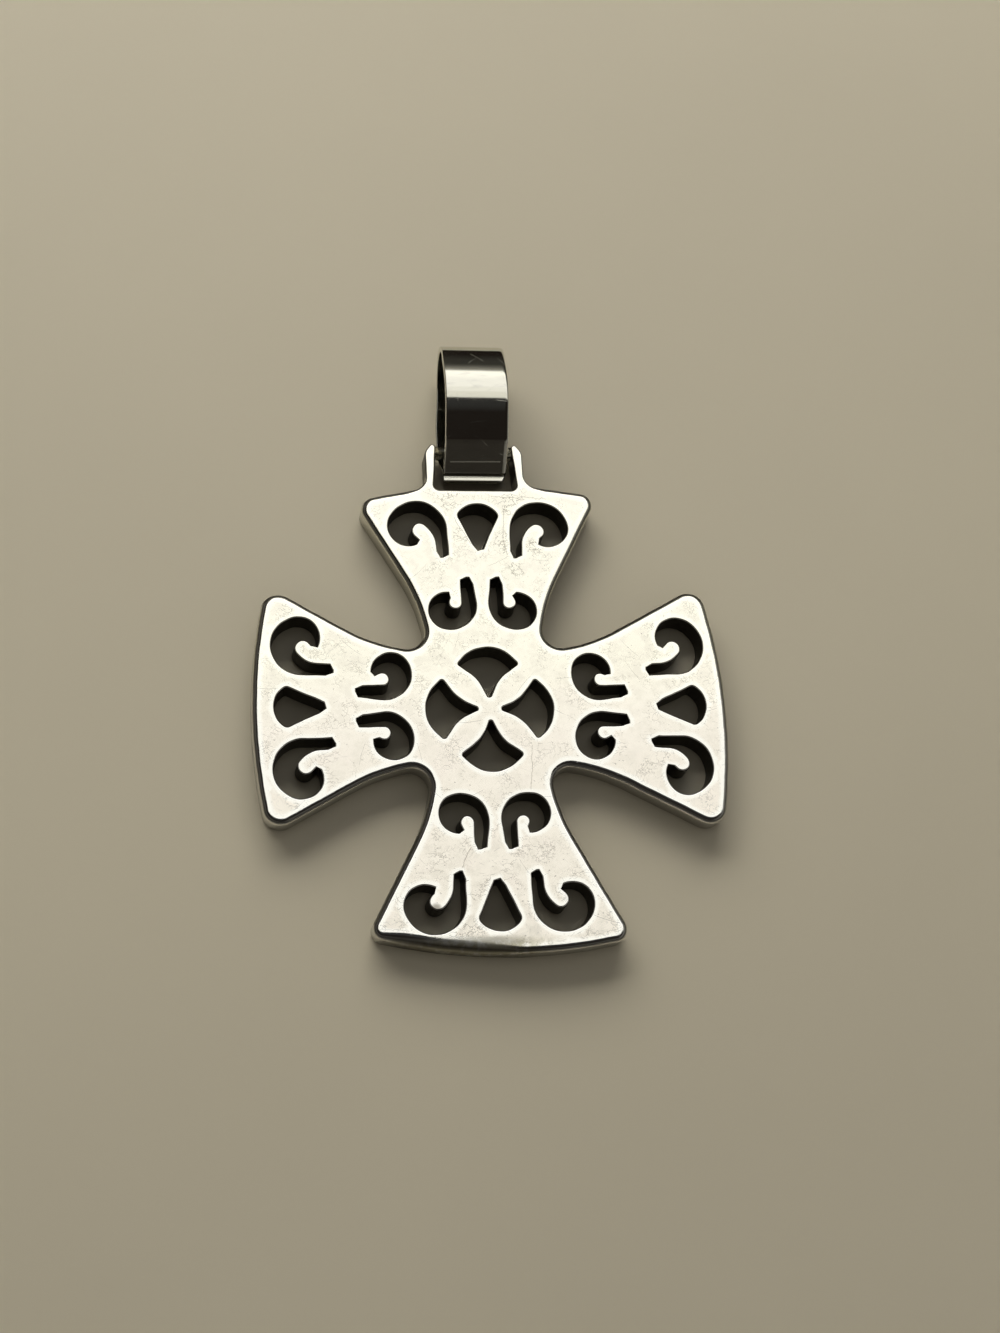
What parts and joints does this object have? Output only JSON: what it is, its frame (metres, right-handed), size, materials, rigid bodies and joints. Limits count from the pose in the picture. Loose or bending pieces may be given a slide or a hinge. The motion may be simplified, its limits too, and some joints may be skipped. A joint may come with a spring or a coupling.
{
  "type": "pierced cross pendant with hinged strap bail",
  "caption": "Flared-arm cross pendant pierced with scrolls, drops and fans; a wide strap bail swings on the bar of its lug.",
  "frame": {"origin": "middle of the cross on its flat back, on the surface that the pendant lies on", "axes": "+X to the right of the cross seen from the front, +Y from the middle towards the bail, +Z out of the front face"},
  "size_m": [0.0368, 0.049, 0.0052],
  "materials": {
    "cast_silver": "polished cast silver with fine scratches, small pits and dark tarnish in the cut-outs",
    "strap_silver": "polished silver strip with light tarnish towards its foot"
  },
  "bodies": {
    "cross": {"cross": "cast_silver"},
    "bail": {"bail": "strap_silver"}
  },
  "joints": [
    {"name": "bail_swing", "type": "hinge", "parent": "cross", "child": "bail", "pos_m": [-0.00012, 0.02155, 0.0012], "axis": [1, 0, 0], "range_deg": [-135, 90]}
  ]
}
